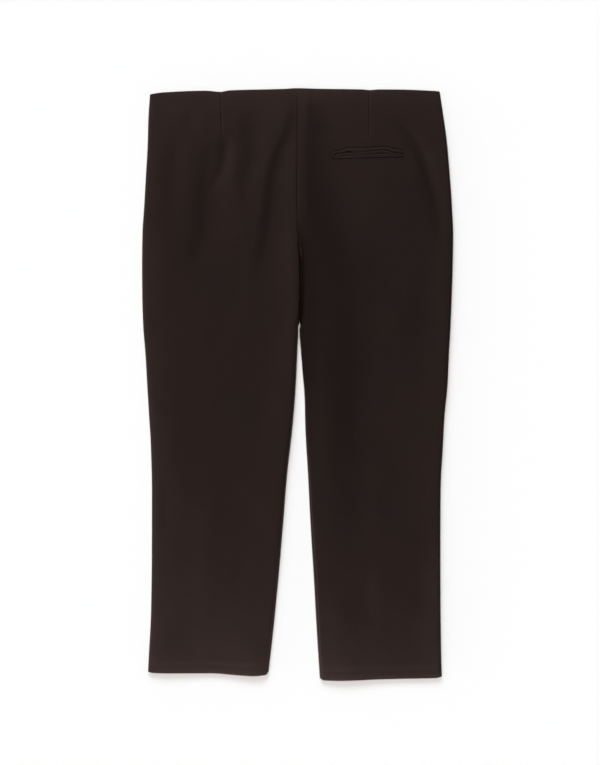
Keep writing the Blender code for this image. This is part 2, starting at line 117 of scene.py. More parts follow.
# ---- The outline of the two halves: y, x of the left side, x of the right side ----
SIDES = metres((
    (430, -217.3, 209),
    (396, -219.4, 214),
    (352, -220.7, 219.7),
    (308, -223.2, 223.4),
    (264, -225.7, 226.5),
    (220, -228.4, 228.4),
    (175, -229, 227.8),
    (131, -228.7, 226.4),
    (87, -227.3, 224.6),
    (43, -223.9, 222.1),
    (-1, -221.4, 220),
    (-45, -218.7, 215.7),
    (-89, -216.1, 213.3),
    (-155, -214.5, 209.9),
    (-243, -214.6, 209.5),
    (-331, -215.7, 209.8),
    (-397, -218.8, 210.8),
    (-431, -220.4, 212.2),
))

# ---- Inner edges: y, x of the left leg's edge, x of the right leg's edge, x of the seam ----
INNER = metres((
    (431, 0, 0, 0),
    (340, 0, 0, -0.1),
    (300, 0, 0, -0.6),
    (230, -0.4, 0.4, -0.6),
    (212, 0.4, 4.6, 3.4),
    (200, 0.8, 7, 6),
    (185, 1.2, 8.8, 7),
    (168, 1.4, 9.6, 6.2),
    (139, 1.2, 9.6, 4.8),
    (117, 0.6, 8.4, 3.8),
    (98, 0.4, 6.4, 3.4),
    (87, 0.8, 4.4, 2.7),
    (80, 1, 2.6, 2.1),
    (73, 0.9, 2.8, 2),
    (65, 0.5, 3.4, 2),
    (43, -0.6, 5.1, 2),
    (21, -1.5, 6.6, 2),
    (-23, -4.1, 9.8, 2),
    (-67, -8.1, 11.3, 2),
    (-133, -15.6, 15.2, 2),
    (-199, -21, 18.5, 2),
    (-287, -28.5, 23.8, 2),
    (-375, -37.3, 28.8, 2),
    (-431, -43.6, 33.2, 2),
))

# ---- Waist edge and hems, as x and y ----
WAIST_EDGE = metres((
    (-217, 426),
    (-196.4, 428.9),
    (-134.7, 431.2),
    (-114, 429.6),
    (-100, 431.7),
    (-81.8, 432.4),
    (-20.1, 433.9),
    (-1, 435),
    (32.8, 434.1),
    (94.5, 433.1),
    (106, 432.2),
    (120, 433.1),
    (147.3, 433),
    (200.2, 431),
    (210.5, 429.8),
))
HEM_EDGE = metres((
    (-219, -422.1),
    (-213, -423.4),
    (-187.6, -424.1),
    (-125.9, -424),
    (-90.6, -426.7),
    (-64.2, -428.1),
    (-46.6, -426.5),
    (-42.9, -422.3),
    (32.8, -431.7),
    (38.6, -434.5),
    (62.1, -435),
    (120.9, -432.9),
    (173.8, -431.7),
    (203.2, -431),
    (211.2, -428.9),
))

# ---- How far each seam lies over the leg's edge, along the cloth: y, side left, side right, inner ----
SEAM_LAP = metres((
    (431, -0.5, 1, -1),
    (130, -0.5, 1, -1),
    (60, -0.5, 2.6, -0.8),
    (0, -0.5, 6, 0),
    (-60, -0.5, 7.6, 1.5),
    (-184, -0.5, 7.6, 4.5),
    (-300, -0.5, 7.6, 6),
    (-431, -0.5, 7.6, 6),
))
SEAM_DIP = 0.0008  # the cloth turns in at a seam by this much
CENTRE_DIP = metres((
    (431, 0.1),
    (360, 0.22),
    (280, 0.45),
    (225, 0.42),
    (100, 0.5),
    (60, 0.8),
))  # y, the same at the centre back seam and down the inner leg seams
SEAM_HALF = 0.0011
CENTRE_SHARE = {"left": 1.0, "right": 0.5}  # of that dip on either side of the seam
RECESS_FLOOR = metres((
    (230, 11.5),
    (212, 12),
    (195, 10),
    (175, 8),
    (94.5, 7.2),
))  # y, height of the seam at the bottom of the recess
RECESS_WALL = {"left": (0.0001, 1.0), "right": (0.0090, 2.0)}  # reach of a side, softness of its foot
RECESS_FOOT = 0.0012  # least width of the recess's floor on either side of the seam
SLIVER = (0.0040, 0.0013, 0.0034)  # a narrow fold on the floor of the recess: x, half width, height
SLIVER_ENDS = ((0.1740, 0.1880), (0.2020, 0.2140))  # y between which it comes and goes
ALLOWANCE = (0.0138, 0.0206, 0.0020)  # the centre back seam's allowance: where its edge is, and its height
ALLOWANCE_FOOT = (0.2300, 0.3000)  # y between which it comes to show
ALLOWANCE_HEAD = 0.0400  # and how far below the waist it shows in full

# ---- Darts ----
DARTS = {"left": (-0.1130, -0.1110), "right": (0.1050, 0.1057)}  # x at the waist, x at the end
DART_END_Y = 0.3560
DART_FADE = 0.0160  # its end is this long
DART_DEPTH = {"left": 0.0008, "right": 0.0005}
DART_HALF = 0.0011
DART_LIP = (0.0026, 0.0012, 0.0001)  # distance, half width and height of the lips beside it
DART_STEPS = (0.0, 0.0004, 0.0008, 0.0013, 0.0020, 0.0030, 0.0044)  # columns on either side of it
DART_LEAN_HALF = 0.0160  # half width of the band of columns that lean with the dart

# ---- Welt pocket: x, y of its upper seam, y of the slit, y of its lower seam ----
POCKET = metres((
    (49.7, 338.7, 336.8, 333.8),
    (54.1, 342.4, 337.9, 332.6),
    (64.3, 343.6, 339.9, 332.4),
    (74.6, 347.1, 341.4, 332.6),
    (87.8, 347, 340.8, 333),
    (109.9, 347.4, 342.9, 333.7),
    (124, 348, 344.6, 334),
    (130.4, 348, 344.5, 334.3),
    (138.5, 346.1, 341.3, 334.6),
    (148.1, 344.3, 339.6, 334.8),
    (155.4, 342.4, 338.5, 335),
))
POCKET_FADE = 0.0250  # the rows are bent this far beyond its ends
POCKET_REACH = 0.0200  # and this far above and below it
POCKET_DIP = 0.0006  # the cloth turns down at the pocket's seams
POCKET_DIP_HALF = 0.0012
POCKET_DIP_FADE = 0.0030
WELT_STEP = 0.0015
WELT_RISE = 0.0010
WELT_DEPTH = 0.0015
WELT_POINTS = 25
WELT_TURN = (1.0, -0.25)  # its section runs from the seam down into the slit, in half turns
WELT_SQUARE = 0.55  # below 1 the section is squarer than an ellipse
WELT_MIDDLE = np.linspace(-0.36, 0.36, 13)  # more of its points, as twice the distance from its middle
WELT_END = 0.0030  # it flattens towards its ends over this stretch
SLIT = metres((
    (49.7, 0.5),
    (54.1, 0.6),
    (64.3, 0.7),
    (74.6, 1.2),
    (85, 0.6),
    (109.9, 0.5),
    (130.4, 0.7),
    (138.5, 0.9),
    (151, 0.7),
    (155.4, 0.2),
))  # x, half width of the opening
FACING_OVERHANG = 0.0050
FACING_HALF = 0.0090
FACING_GAP = 0.0003
FACING_THICKNESS = 0.0006
FACING_POINTS = (60, 12)  # along and across
MID_LINE = (0.48, 0.09, 0.0011)  # place, half width and depth of the crease along the lower welt

# ---- Soft shapes of the back: y, x of the line, half widths left and right of it, height ----
SHAPES = metres({
    "left_seat": (
        (418, -5, 8, 20, 0), (402, -5, 8, 20, -1.4), (387, -6.8, 8, 23, -2.5), (367, -13.2, 8, 26, -3.3),
        (337, -26.2, 8, 29, -4.1), (300, -35.2, 8, 30, -4.3), (264, -38.3, 8.5, 30, -3.8),
        (227, -41.4, 9.5, 30, -2.7), (200, -46.4, 11, 32, -2), (165, -52.5, 13, 32, -1),
        (130, -56, 14, 30, 0),
    ),
    "dart_tip": (
        (369, -106.8, 6.5, 9, 0), (355, -107.4, 7, 11, -2), (345, -108, 7.5, 10.5, -3.4),
        (330, -109.6, 8, 12, -3.7), (315, -111.7, 8, 13, -3), (295, -122, 9, 12, -1.1),
        (275, -133, 9, 12, 0),
    ),
    "left_hip": (
        (356, -123, 8, 20, 0), (345, -127, 9, 22, -1.5), (330, -130, 10.5, 25, -2.5),
        (312, -132.4, 12.5, 29, -3.7), (293, -132.6, 15, 37, -5), (264, -132, 16, 43, -6),
        (235, -133.8, 15.5, 42, -5.3), (205, -139.7, 15.5, 38, -3.3), (175, -146, 16.5, 38, -1.2),
        (140, -152, 17, 36, 0),
    ),
    "left_middle": (
        (399, -74, 9, 18, 0), (381.5, -72.2, 9, 19, -1.4), (362, -69.2, 11.5, 20, -3.2),
        (344, -65.5, 11, 20, -3), (324, -67.5, 12, 20, -2.4), (300, -70, 12, 18, -1),
        (280, -70, 12, 16, 0),
    ),
    "left_middle_low": (
        (340, -86, 7, 13, 0), (318, -82, 7, 14, -0.6), (300, -78.6, 8, 15, -1.4),
        (280, -75.7, 9, 15, -1.4), (250, -74, 9, 15, 0),
    ),
    "far_left": (
        (370, -180, 11, 15, 0), (344, -181.5, 12, 16, -1.1), (322, -182, 12, 16, -1.6),
        (293, -182.5, 12, 16, -1.5), (264, -184, 12, 16, -0.8), (235, -186, 12, 16, 0),
    ),
    "left_top": (
        (415, -159, 10, 13, 0), (400, -157.5, 10, 13, -0.8), (385, -157, 10, 13, -1),
        (365, -158, 10, 13, 0),
    ),
    "middle_ridge": (
        (415, 5, 30, 12, 0), (381, 7.2, 32, 11, 1.2), (344, 8.8, 33, 12, 2.1), (286, 8, 35, 19, 2.8),
        (235, 7, 38, 29, 2.4), (180, -3, 38, 26, 1), (140, -6, 36, 20, 0),
    ),
    "right_crotch": (
        (245, 8, 10, 14, 0), (220, 10, 10, 16, -1.8), (190, 12, 10, 20, -3.8), (140, 13, 10, 22, -4.6),
        (80, 11, 10, 22, -4), (30, 11, 10, 22, -2.4), (-40, 13, 10, 20, -0.8), (-120, 17, 10, 20, 0),
    ),
    "right_valley": (
        (412, 34, 18, 22, 0), (386, 37.5, 21, 28, -3.4), (365, 37, 21.5, 36, -6.2),
        (344, 37.5, 22, 43, -6.4), (300, 42.5, 26, 48, -5.8), (260, 54, 34, 56, -5.6),
        (210, 75, 40, 70, -6.2), (124, 93, 44, 76, -6.2), (7, 95, 44, 76, -6), (-126, 96, 44, 70, -4.6),
        (-258, 96, 44, 60, -1.8), (-350, 96, 44, 60, 0),
    ),
    "right_hip": (
        (396, 140, 8, 12, 0), (379, 152.5, 8.5, 13, -1.4), (366, 163.5, 8.5, 14, -2.8),
        (344, 177.5, 8.5, 15, -3.5), (322, 187, 8.5, 14, -2.8), (300, 194.5, 8.5, 13, -1.8),
        (264, 203.5, 9, 12, -1.2), (225, 209, 9, 11, -0.6), (195, 212, 9, 11, 0),
    ),
    "left_shin": (
        (-120, -193, 9, 24, 0), (-185, -193, 9, 24, -1.2), (-250, -193, 9, 24, 0),
    ),
    "left_crease": (
        (100, -130, 15, 18, 0), (20, -130, 15, 18, 0.5), (-120, -135, 15, 18, 0.3),
        (-300, -136, 15, 18, 0.5), (-420, -137, 15, 18, 0.4),
    ),
    "right_crease": (
        (20, 116, 15, 19, 0), (-120, 120, 15, 19, 0.4), (-300, 121, 15, 19, 0.7),
        (-420, 121, 15, 19, 0.5),
    ),
})

# ---- The swelling of either side along its inner edge, in the same form. The crest lies past the edge ----
BROWS = metres({
    "left": {
        "brow": (
            (260, 14, 33, 20, 0), (220, 15, 33, 20, 3.6), (190, 15, 33, 20, 6.2),
            (130, 15, 33.5, 20, 7.7), (60, 15, 40, 20, 7.5), (-30, 9, 44, 20, 6.4), (-130, -2, 44, 20, 5),
            (-220, -10, 44, 20, 3.6), (-320, -20, 40, 20, 1.8), (-420, -30, 36, 20, 0),
        ),
    },
    "right": {
        "brow": (
            (260, 4, 30, 20, 0), (220, 5, 30, 20, 1.8), (190, 5.6, 31, 20, 4), (130, 5.6, 32, 20, 5.8),
            (60, 4.6, 33, 20, 4.4), (30, 3.6, 33, 20, 2), (-10, 2, 34, 20, 0),
        ),
        "foot": (
            (70, 4, 20, 26, 0), (20, 6, 20, 25, -1.4), (-130, 15, 20, 24, -1.8), (-280, 23, 20, 24, -1.8),
            (-400, 30, 20, 24, -0.8), (-430, 33, 20, 24, 0),
        ),
    },
})

# ---- Soft shapes beside the side edges, in the same form ----
RIMS = metres({
    "left_rim": (
        (400, -219, 20, 23, 0), (340, -221, 20, 23, -1.2), (220, -228, 20, 24, -1.5),
        (40, -223, 20, 24, -1.7), (-160, -214, 20, 24, -1.7), (-330, -215, 20, 23, -1.4),
        (-405, -219, 20, 23, 0),
    ),
    "right_rim": (
        (420, 219, 28, 20, 0), (370, 226, 28, 20, 2.8), (320, 231, 29, 20, 4), (220, 236, 30, 20, 4.6),
        (100, 232, 30, 20, 4.8), (-50, 223, 30, 20, 4.8), (-160, 217, 29, 20, 4.8),
        (-260, 217, 29, 20, 5), (-360, 218, 28, 20, 5), (-420, 219, 28, 20, 2),
    ),
})

# ---- Where the hems stand up from the table: x, half width, height ----
HEM_LIFTS = metres((
    (-188, 30, 1.6),
    (-66, 20, 1.6),
    (78, 40, 1.8),
))
HEM_LIFT_LENGTH = 0.0600
HEM_LIFT_UNDER = 0.4  # share of it on the underside
HEM_BULGE = 0.0006  # the leg is fuller than the turned-in hem by this much
HEM_BULGE_RISE = (0.0125, 0.0195)  # distances from the hem's edge between which it grows fuller
HEM_STITCH = 0.0125  # distance of the stitch line from the hem's edge
STITCH_DIP = {"top": 0.0001, "under": 0.0003}
STITCH_HALF = 0.0008

# ---- Soft channels of the underside: y, x, half widths, height over the table ----
UNDER_SHAPES = metres({
    "left_front": (
        (370, -90, 14, 18, 0), (260, -105, 15, 20, 1.3), (120, -110, 18, 22, 1), (-60, -118, 18, 22, 0),
    ),
    "left_crotch": (
        (250, -18, 9, 9, 0), (150, -30, 10, 12, 1.3), (40, -56, 12, 14, 0.9), (-70, -70, 14, 16, 0),
    ),
    "right_front": (
        (360, 115, 16, 15, 0), (230, 120, 18, 16, 1.2), (70, 115, 20, 18, 1.1), (-120, 118, 20, 18, 0),
    ),
    "right_crotch": (
        (250, 20, 9, 9, 0), (150, 36, 12, 10, 1.2), (30, 60, 14, 12, 0.8), (-80, 72, 16, 14, 0),
    ),
})
UNDER_SIDE = (0.0100, 0.0300)  # distances from the side edge between which they rise
UNDER_INNER = (0.0040, 0.0200)  # and from the inner edge

# ---- Gentle unevenness of laid cloth: waves per metre along X and Y, phase, height ----
UNEVEN = (
    (7.3, 3.1, 0.4, 0.00022),
    (-4.9, 5.7, 1.9, 0.00020),
    (13.7, -2.3, 2.7, 0.00012),
    (9.1, 11.9, 4.1, 0.00010),
    (-21.3, 6.7, 5.2, 0.00005),
    (17.9, -19.3, 0.9, 0.00004),
)

# ---- Columns of a panel: its inner end, its middle and its outer end ----
COLUMN_STEP = {"back": 0.0021, "front": 0.0032}
SEAM_COLUMNS, ROUND_COLUMNS, NEAR_COLUMNS = 6, 9, 6  # on the recess's floor, up its side, beside it
NEAR_REACH = 0.0120  # of the last ones
FRONT_REACH = 0.0200  # of a front panel's inner end
UNDER_REACH = 0.0120  # of a front panel's ends, in from the edges
END_COLUMNS = 18
END_REACH = 0.0170  # of a back panel's outer end
COLUMN_MARGIN = 0.0010  # least distance of the middle from the ends
CROWDING = 1.5  # power that crowds the columns beside a seam
INNER_CROWDING = 1.6  # the same at a back panel's inner seam
MIDDLE_FROM, MIDDLE_TO = 0.0200, 0.2020
COLUMNS_FREE_Y, COLUMNS_HELD_Y = 0.2140, 0.3040  # below the first they spread evenly
SHARP_ANGLE = 1.2  # edges that bend more, in radians, are shaded sharp

# ---- Stitches ----
STITCH_PITCH = 0.0034
STITCH_LENGTH = 0.0028
THREAD = 0.00016  # radius
THREAD_SIDES = 6
# Rings of a stitch: share of its length, size and rise in radii of the thread
THREAD_SHAPE = ((0.0, 0.5, -1.2), (0.18, 0.9, 0.1), (0.5, 1.0, 0.5), (0.82, 0.9, 0.1), (1.0, 0.5, -1.2))
TACK_THREADS = 15
TACK_WIDTH = 0.0013
TACK_LEAN = 0.0003
TACK_INSET = 0.0004

# ---- Materials, with linear colours ----
WHITE = (1.0, 1.0, 1.0)
CLOTH_DARK = (0.0136, 0.0063, 0.0053)
CLOTH_LIGHT = (0.0186, 0.0091, 0.0076)
# The facing's cloth is painted darker than the rest of the cloth: painted shade inside the slit over it
FACING_PAINTED_SHADE = (0.0060, 0.0028, 0.0024)
THREAD_COLOUR = (0.0170, 0.0105, 0.0092)
# The thread is painted darker between the turns of its twist: painted shade in its grooves
THREAD_PAINTED_SHADE = 0.6  # the colour between its turns, as a share
THREAD_TWIST = 900.0  # scale of the wave across it
THREAD_ROUGHNESS = (0.75, 0.55)
THREAD_BUMP = 0.00004
THREAD_SHEEN, THREAD_SPECULAR = 0.1, 0.3
FLOOR_COLOUR = (0.90, 0.90, 0.90)
FLOOR_SHADE = 0.985  # its darker specks, as a share
FLOOR_GRAIN = (300.0, 3.0, 0.5)  # scale, detail and roughness
FLOOR_ROUGHNESS, FLOOR_SPECULAR = 0.9, 0.1
FLOOR_HALF = 30.0
FLOOR_Z = -0.0003
SHEEN_WEIGHT = 0.20
SHEEN_ROUGHNESS = 0.45
SHEEN_TINT = (1.0, 0.80, 0.74)
SPECULAR = 0.15
CLOTH_IOR = 1.45
WALE = 0.0008  # pitch of the knit across the cloth
COURSE = 0.0006  # and along it
COURSE_SHARE = 0.7  # height of a course, as a share of a wale's
RIB_BEND = 1.6  # radians by which both waver
NOISES = {
    "bend": ("weave", 220.0, 2.0, 0.5),
    "fibre": ("weave", 2600.0, 3.0, 0.65),
    "heather": ("weave", 700.0, 3.0, 0.6),
    "clouds": ("place", 9.0, 3.0, 0.55),
    "rumple": ("place", 55.0, 2.0, 0.5),
}  # what it follows, scale, detail, roughness
# The loops' share makes the gaps between the knit's loops darker than their crests: painted shade
SHADING = {"clouds": 1.4, "heather": 1.2, "loops": 0.4, "base": 0.3}  # from the dark to the light colour
ROUGHNESS = {"fibre": 0.22, "loops": -0.10, "base": 0.78}
BUMPS = {"rumple": 0.00045, "loops": 0.00005, "fibre": 0.00004}  # height of each

# ---- Lights. Soft boxes shine on the cloth, and the floor has lights of its own ----
SUNS = {
    "raking_left": ("cloth", 180.0, 7.0, 8.0, 0.38),
    "raking_top_left": ("cloth", 150.0, 7.0, 8.0, 0.68),
    "floor_top": ("floor", 97.0, 31.0, 27.0, 1.96),
    "floor_left": ("floor", 170.0, 46.0, 34.0, 0.15),
    "floor_above": ("floor", 0.0, 89.0, 40.0, 2.10),
}  # what it shines on, azimuth from +X towards +Y, elevation and apparent size in degrees, strength
SUN_TINTS = {"floor_top": (0.79, 0.94, 1.0), "floor_above": (1.0, 0.93, 0.90)}  # so that shadows are warm
BOXES = {
    "box_left": ((-1.0, 0.0, 0.35), (0.5, 1.4), 9.0),
    "box_hem_left": ((-0.8, -0.9, 0.40), (0.8, 0.6), 8.0),
    "box_top": ((0.0, 0.95, 0.25), (1.4, 0.3), 4.3),
    "box_hem": ((0.0, -0.90, 0.25), (1.4, 0.3), 3.0),
    "strip_waist": ((0.0, 0.56, 0.08), (0.5, 0.05), 0.36),
    "strip_hem": ((0.0, -0.56, 0.08), (0.5, 0.05), 0.65),
}  # place, width and depth, watts
BOX_AIM = 0.2  # each box faces the middle line of the garment, at this share of its own y
WALLS, CEILING = 1.0, 0.12  # brightness of the studio round the scene
WALLS_TO, CEILING_FROM = 0.12, 0.30  # heights of a direction, as its sine
LEFT_SIDE, RIGHT_SIDE = 1.5, 0.5  # the room is brighter on the left


def smooth_step(start, end, value):
    """0 at start and 1 at end, with no corner at either. The end may be the lower one."""
    share = np.clip((value - start) / (end - start), 0.0, 1.0)
    return share * share * (3.0 - 2.0 * share)


def bell(away, half):
    """A soft hump, 1 in its middle, which has sunk to 1/e at half to either side."""
    return np.exp(-((away / half) ** 2))


def signed_power(base, exponent):
    """A power that keeps the sign of its base."""
    return np.sign(base) * np.abs(base) ** exponent


def unit(vectors):
    """The same vectors with a length of 1."""
    return vectors / np.linalg.norm(vectors, axis=1)[:, None]


def run_length(line):
    """Distance along a line, at each of its points."""
    return np.concatenate(([0.0], np.cumsum(np.linalg.norm(np.diff(line, axis=0), axis=1))))


def read_along(length, values, at):
    """Reads rows of values, which belong to lengths, at other lengths."""
    return np.stack([np.interp(at, length, column) for column in values.T], axis=-1)


@lru_cache(maxsize=None)
def knots(rows, column):
    """Places, values and slopes of a curve through one column of a table. It doesn't overshoot."""
    table = np.array(rows, dtype=float)
    table = table[np.argsort(table[:, 0])]
    places, values = table[:, 0], table[:, column]
    chords = np.diff(values) / np.diff(places)
    slopes = np.zeros(len(values))
    slopes[0], slopes[-1] = chords[0], chords[-1]
    for k in range(1, len(values) - 1):
        if chords[k - 1] * chords[k] > 0:
            slopes[k] = 2.0 * chords[k - 1] * chords[k] / (chords[k - 1] + chords[k])
    return places, values, slopes


def curve(rows, column, at):
    """Reads one column of a table at places between its rows."""
    places, values, slopes = knots(rows, column)
    at = np.clip(np.asarray(at, dtype=float), places[0], places[-1])
    k = np.clip(np.searchsorted(places, at) - 1, 0, len(places) - 2)
    width = places[k + 1] - places[k]
    t = (at - places[k]) / width
    return (
        values[k] * (1 + 2 * t) * (1 - t) ** 2
        + values[k + 1] * t * t * (3 - 2 * t)
        + width * slopes[k] * t * (1 - t) ** 2
        - width * slopes[k + 1] * t * t * (1 - t)
    )


def shapes_at(table, y):
    """The soft shapes of a table that cross one station: place, half widths and height of each."""
    found = []
    for rows in table.values():
        places = [row[0] for row in rows]
        if min(places) < y < max(places):
            found.append([float(curve(rows, k, y)) for k in (1, 2, 3, 4)])
    return found


def add_up(shapes, x):
    """Height of soft shapes at the points x of their station."""
    total = np.zeros_like(x)
    for middle, left, right, height in shapes:
        away = x - middle
        total += height * bell(away, np.where(away < 0, left, right))
    return total


def uneven(x, y):
    """A slight waviness, the same each time."""
    total = np.zeros_like(x)
    for along_x, along_y, phase, height in UNEVEN:
        total += height * np.sin(2 * np.pi * (along_x * x + along_y * y) + phase)
    return total


def dart_x(side, y):
    """The dart's line, from the waist to its end and then straight down."""
    at_waist, at_end = DARTS[side]
    return at_waist + (at_end - at_waist) * min(1.0, (WAIST_Y - y) / (WAIST_Y - DART_END_Y))


def near_pocket(x, fade):
    """1 between the ends of the pocket, and 0 further off than fade."""
    beyond = np.maximum(np.maximum(POCKET[0][0] - x, x - POCKET[-1][0]), 0.0)
    return 1.0 - smooth_step(0.0, fade, beyond)


class Half:
    """One half of the garment at one station."""

    def __init__(self, side, y):
        self.side, self.y = side, y
        self.sign = -1.0 if side == "left" else 1.0
        column = 1 if side == "left" else 2
        self.outer = self.sign * float(curve(SIDES, column, y))
        self.inner = self.sign * float(curve(INNER, column, y))
        self.seam = self.sign * float(curve(INNER, 3, y))
        self.side_lap = float(curve(SEAM_LAP, column, y))
        self.inner_lap = float(curve(SEAM_LAP, 3, y))
        self.legs = float(smooth_step(*LEGS_ROUND, y))
        self.shapes = shapes_at(SHAPES, y) + shapes_at(BROWS[side], y)
        self.rims = shapes_at(RIMS, y)
        self.under_shapes = shapes_at(UNDER_SHAPES, y)

    def hem_lift(self, x):
        """How far the hems stand up."""
        up = bell(self.y - HEM_Y, HEM_LIFT_LENGTH)
        return up * sum(height * bell(x - at, half) for at, half, height in HEM_LIFTS)

    def top(self, u):
        """Height of the upper side over the table, before its edges are rounded."""
        x = self.sign * u
        to_side = np.maximum(self.outer - u, 0.0)
        to_inner = np.maximum(u - self.inner, 0.0)
        rise = 1.0 - np.exp(-to_side / SOFT_REACH[self.side])
        rise *= 1.0 - self.legs * np.exp(-to_inner / SOFT_REACH["inner"])
        rise *= 1.0 - sum(share * np.exp(-(WAIST_Y - self.y) / reach) for share, reach in WAIST_FALL)
        rise *= 1.0 - sum(share * np.exp(-(self.y - HEM_Y) / reach) for share, reach in HEM_FALL)
        height = EDGE_HEIGHT + LOFT_RISE * rise + self.hem_lift(x)
        calm = smooth_step(0.0, CALM_REACH, to_side)
        height += add_up(self.shapes, x) * (CALM_SHARE + (1.0 - CALM_SHARE) * calm)
        height += uneven(x, self.y) * calm
        height += add_up(self.rims, x)
        return height + self.allowance(x) - self.grooves(x)

    def allowance(self, x):
        """The centre back seam's allowance lies under the right side and raises it."""
        edge_from, edge_to, height = ALLOWANCE
        if self.side == "left":
            return 0.0
        fade = smooth_step(*ALLOWANCE_FOOT, self.y) * smooth_step(0.0, ALLOWANCE_HEAD, WAIST_Y - self.y)
        return height * fade * (1.0 - smooth_step(edge_from, edge_to, x))

    def grooves(self, x):
        """Depth of the dart's line, the pocket's seams and the hem's stitch line."""
        away = np.abs(x - dart_x(self.side, self.y))
        lip_at, lip_half, lip_height = DART_LIP
        dart = DART_DEPTH[self.side] * bell(away, DART_HALF) - lip_height * bell(away - lip_at, lip_half)
        depth = dart * smooth_step(DART_END_Y, DART_END_Y + DART_FADE, self.y)
        if self.side == "right":
            above = max(self.y - POCKET_TOP_Y, POCKET_BOTTOM_Y - self.y, 0.0)
            depth += POCKET_DIP * bell(above, POCKET_DIP_HALF) * near_pocket(x, POCKET_DIP_FADE)
        over_hem = self.y - HEM_Y
        depth -= HEM_BULGE * smooth_step(*HEM_BULGE_RISE, over_hem)
        return depth + STITCH_DIP["top"] * bell(over_hem - HEM_STITCH, STITCH_HALF)

    def under(self, u):
        """Height of the underside over the table."""
        x = self.sign * u
        inside = smooth_step(*UNDER_SIDE, self.outer - u), smooth_step(*UNDER_INNER, u - self.inner)
        height = (add_up(self.under_shapes, x) + HEM_LIFT_UNDER * self.hem_lift(x)) * inside[0] * inside[1]
        return height + STITCH_DIP["under"] * bell(self.y - HEM_Y - HEM_STITCH, STITCH_HALF)

    def edge(self, at, inward, distances):
        """Points and outward normals round an edge, by their distance along the cloth from it.

        The upper side is more than zero. inward is 1 on the inner edge and -1 on the outer one."""
        reach = EDGE_REACH["inner" if inward > 0 else self.side]
        turn = np.linspace(0.0, np.pi / 2, EDGE_TURN_POINTS)
        flat = np.linspace(*EDGE_FLAT)
        u = at + inward * np.concatenate((reach * (1.0 - np.cos(turn)), reach + flat))
        share = np.concatenate((np.sin(turn), np.ones(len(flat))))
        top, under = self.top(u), self.under(u)
        middle = EDGE_MIDDLE * top[0]
        upper = middle + (top - middle) * share
        lower = middle - (middle - under) * share
        ring = np.concatenate((lower[:0:-1], upper))
        line = np.stack((np.concatenate((u[:0:-1], u)), ring), axis=1)
        length = run_length(line)
        length -= length[len(u) - 1]
        along = read_along(length, np.gradient(line, length, axis=0), distances)
        normals = inward * np.stack((-along[:, 1], along[:, 0]), axis=1)
        return read_along(length, line, distances), unit(normals)


def upward(points):
    """Normals of a line of points that runs outwards on the upper side."""
    tangent = np.gradient(points, axis=0)
    return unit(np.stack((-tangent[:, 1], tangent[:, 0]), axis=1))


def thickness(y):
    """Of the cloth at a station: turned in along the hems and the waist."""
    at_hem = 1.0 - smooth_step(HEM_DEPTH, HEM_DEPTH + FOLDED_FADE, y - HEM_Y)
    at_waist = 1.0 - smooth_step(WAIST_TURN, WAIST_TURN + FOLDED_FADE, WAIST_Y - y)
    return CLOTH + (FOLDED - CLOTH) * float(max(at_hem, at_waist))


def sink(points, normals, away, dip=SEAM_DIP):
    """Turns the cloth in at a seam. away is the distance from the seam."""
    return points - normals * (dip * bell(away, SEAM_HALF))[:, None]


def sliver(x, y):
    """Height of the narrow fold that shows in the recess."""
    at, half, height = SLIVER
    comes, goes = SLIVER_ENDS
    fade = smooth_step(*comes, y) * (1.0 - smooth_step(*goes, y))
    return height * fade * bell(x - at, half)


def where_legs_part(half, together, wrapped):
    """A panel's inner end: the first shape where the legs lie together, and the second below."""
    apart = float(smooth_step(CROTCH_Y, LEGS_APART, half.y))
    points, normals = (a + apart * (b - a) for a, b in zip(together, wrapped))
    return points, unit(normals)


def back_inner_end(half):
    """The back panel beside its inner seam: level or down in the recess, and round the leg below."""
    start = half.seam + SEAM_GAP / 2
    foot = max(half.inner, start + RECESS_FOOT)
    reach, softness = RECESS_WALL[half.side]
    turn = np.linspace(0.0, np.pi / 2, ROUND_COLUMNS + 1)[1:]
    near = reach + np.linspace(0.0, NEAR_REACH, NEAR_COLUMNS + 1)[1:]
    across_floor = np.linspace(start, foot, SEAM_COLUMNS)
    u = np.concatenate((across_floor, foot + reach * (1 - np.cos(turn)), foot + near))
    share = np.concatenate((np.zeros(SEAM_COLUMNS), np.sin(turn) ** softness, np.ones(NEAR_COLUMNS)))
    top = half.top(u)
    floor = np.minimum(top, float(curve(RECESS_FLOOR, 1, half.y)) + sliver(half.sign * u, half.y))
    if half.y >= RECESS_TOP:
        floor = top
    above = np.stack((u, floor + (top - floor) * share), axis=1)
    normals = upward(above)
    centre_dip = CENTRE_SHARE[half.side] * float(curve(CENTRE_DIP, 1, half.y))
    together = sink(above, normals, u - half.seam, centre_dip), normals

    lap = half.inner_lap + SEAM_GAP / 2
    steps = (foot + reach + NEAR_REACH - half.inner) * np.linspace(0.0, 1.0, len(u)) ** INNER_CROWDING
    points, normals = half.edge(half.inner, 1.0, lap + steps)
    return where_legs_part(half, together, (sink(points, normals, steps), normals))


def back_outer_end(half):
    """The back panel beside its side seam, from the middle outwards."""
    start = half.side_lap + SEAM_GAP / 2
    steps = (max(start, 0.0) - start + END_REACH) * np.linspace(1.0, 0.0, END_COLUMNS) ** CROWDING
    points, normals = half.edge(half.outer, -1.0, start + steps)
    return sink(points, normals, steps), normals


@lru_cache(maxsize=None)
def held_columns(side, layer):
    """Places of the middle columns near the waist, where they keep to the dart and the pocket."""
    marks = [MIDDLE_FROM, MIDDLE_TO]
    if layer == "back":
        dart = abs(DARTS[side][1])
        marks += [dart + sign * step for step in DART_STEPS for sign in (-1, 1)]
        if side == "right":
            marks += [POCKET[0][0], POCKET[-1][0]]
    marks = sorted(set(np.round(marks, 6)))
    places = [marks[0]]
    for low, high in zip(marks[:-1], marks[1:]):
        count = max(1, int(np.ceil((high - low) / COLUMN_STEP[layer])))
        places += list(np.linspace(low, high, count + 1)[1:])
    return np.array(places)


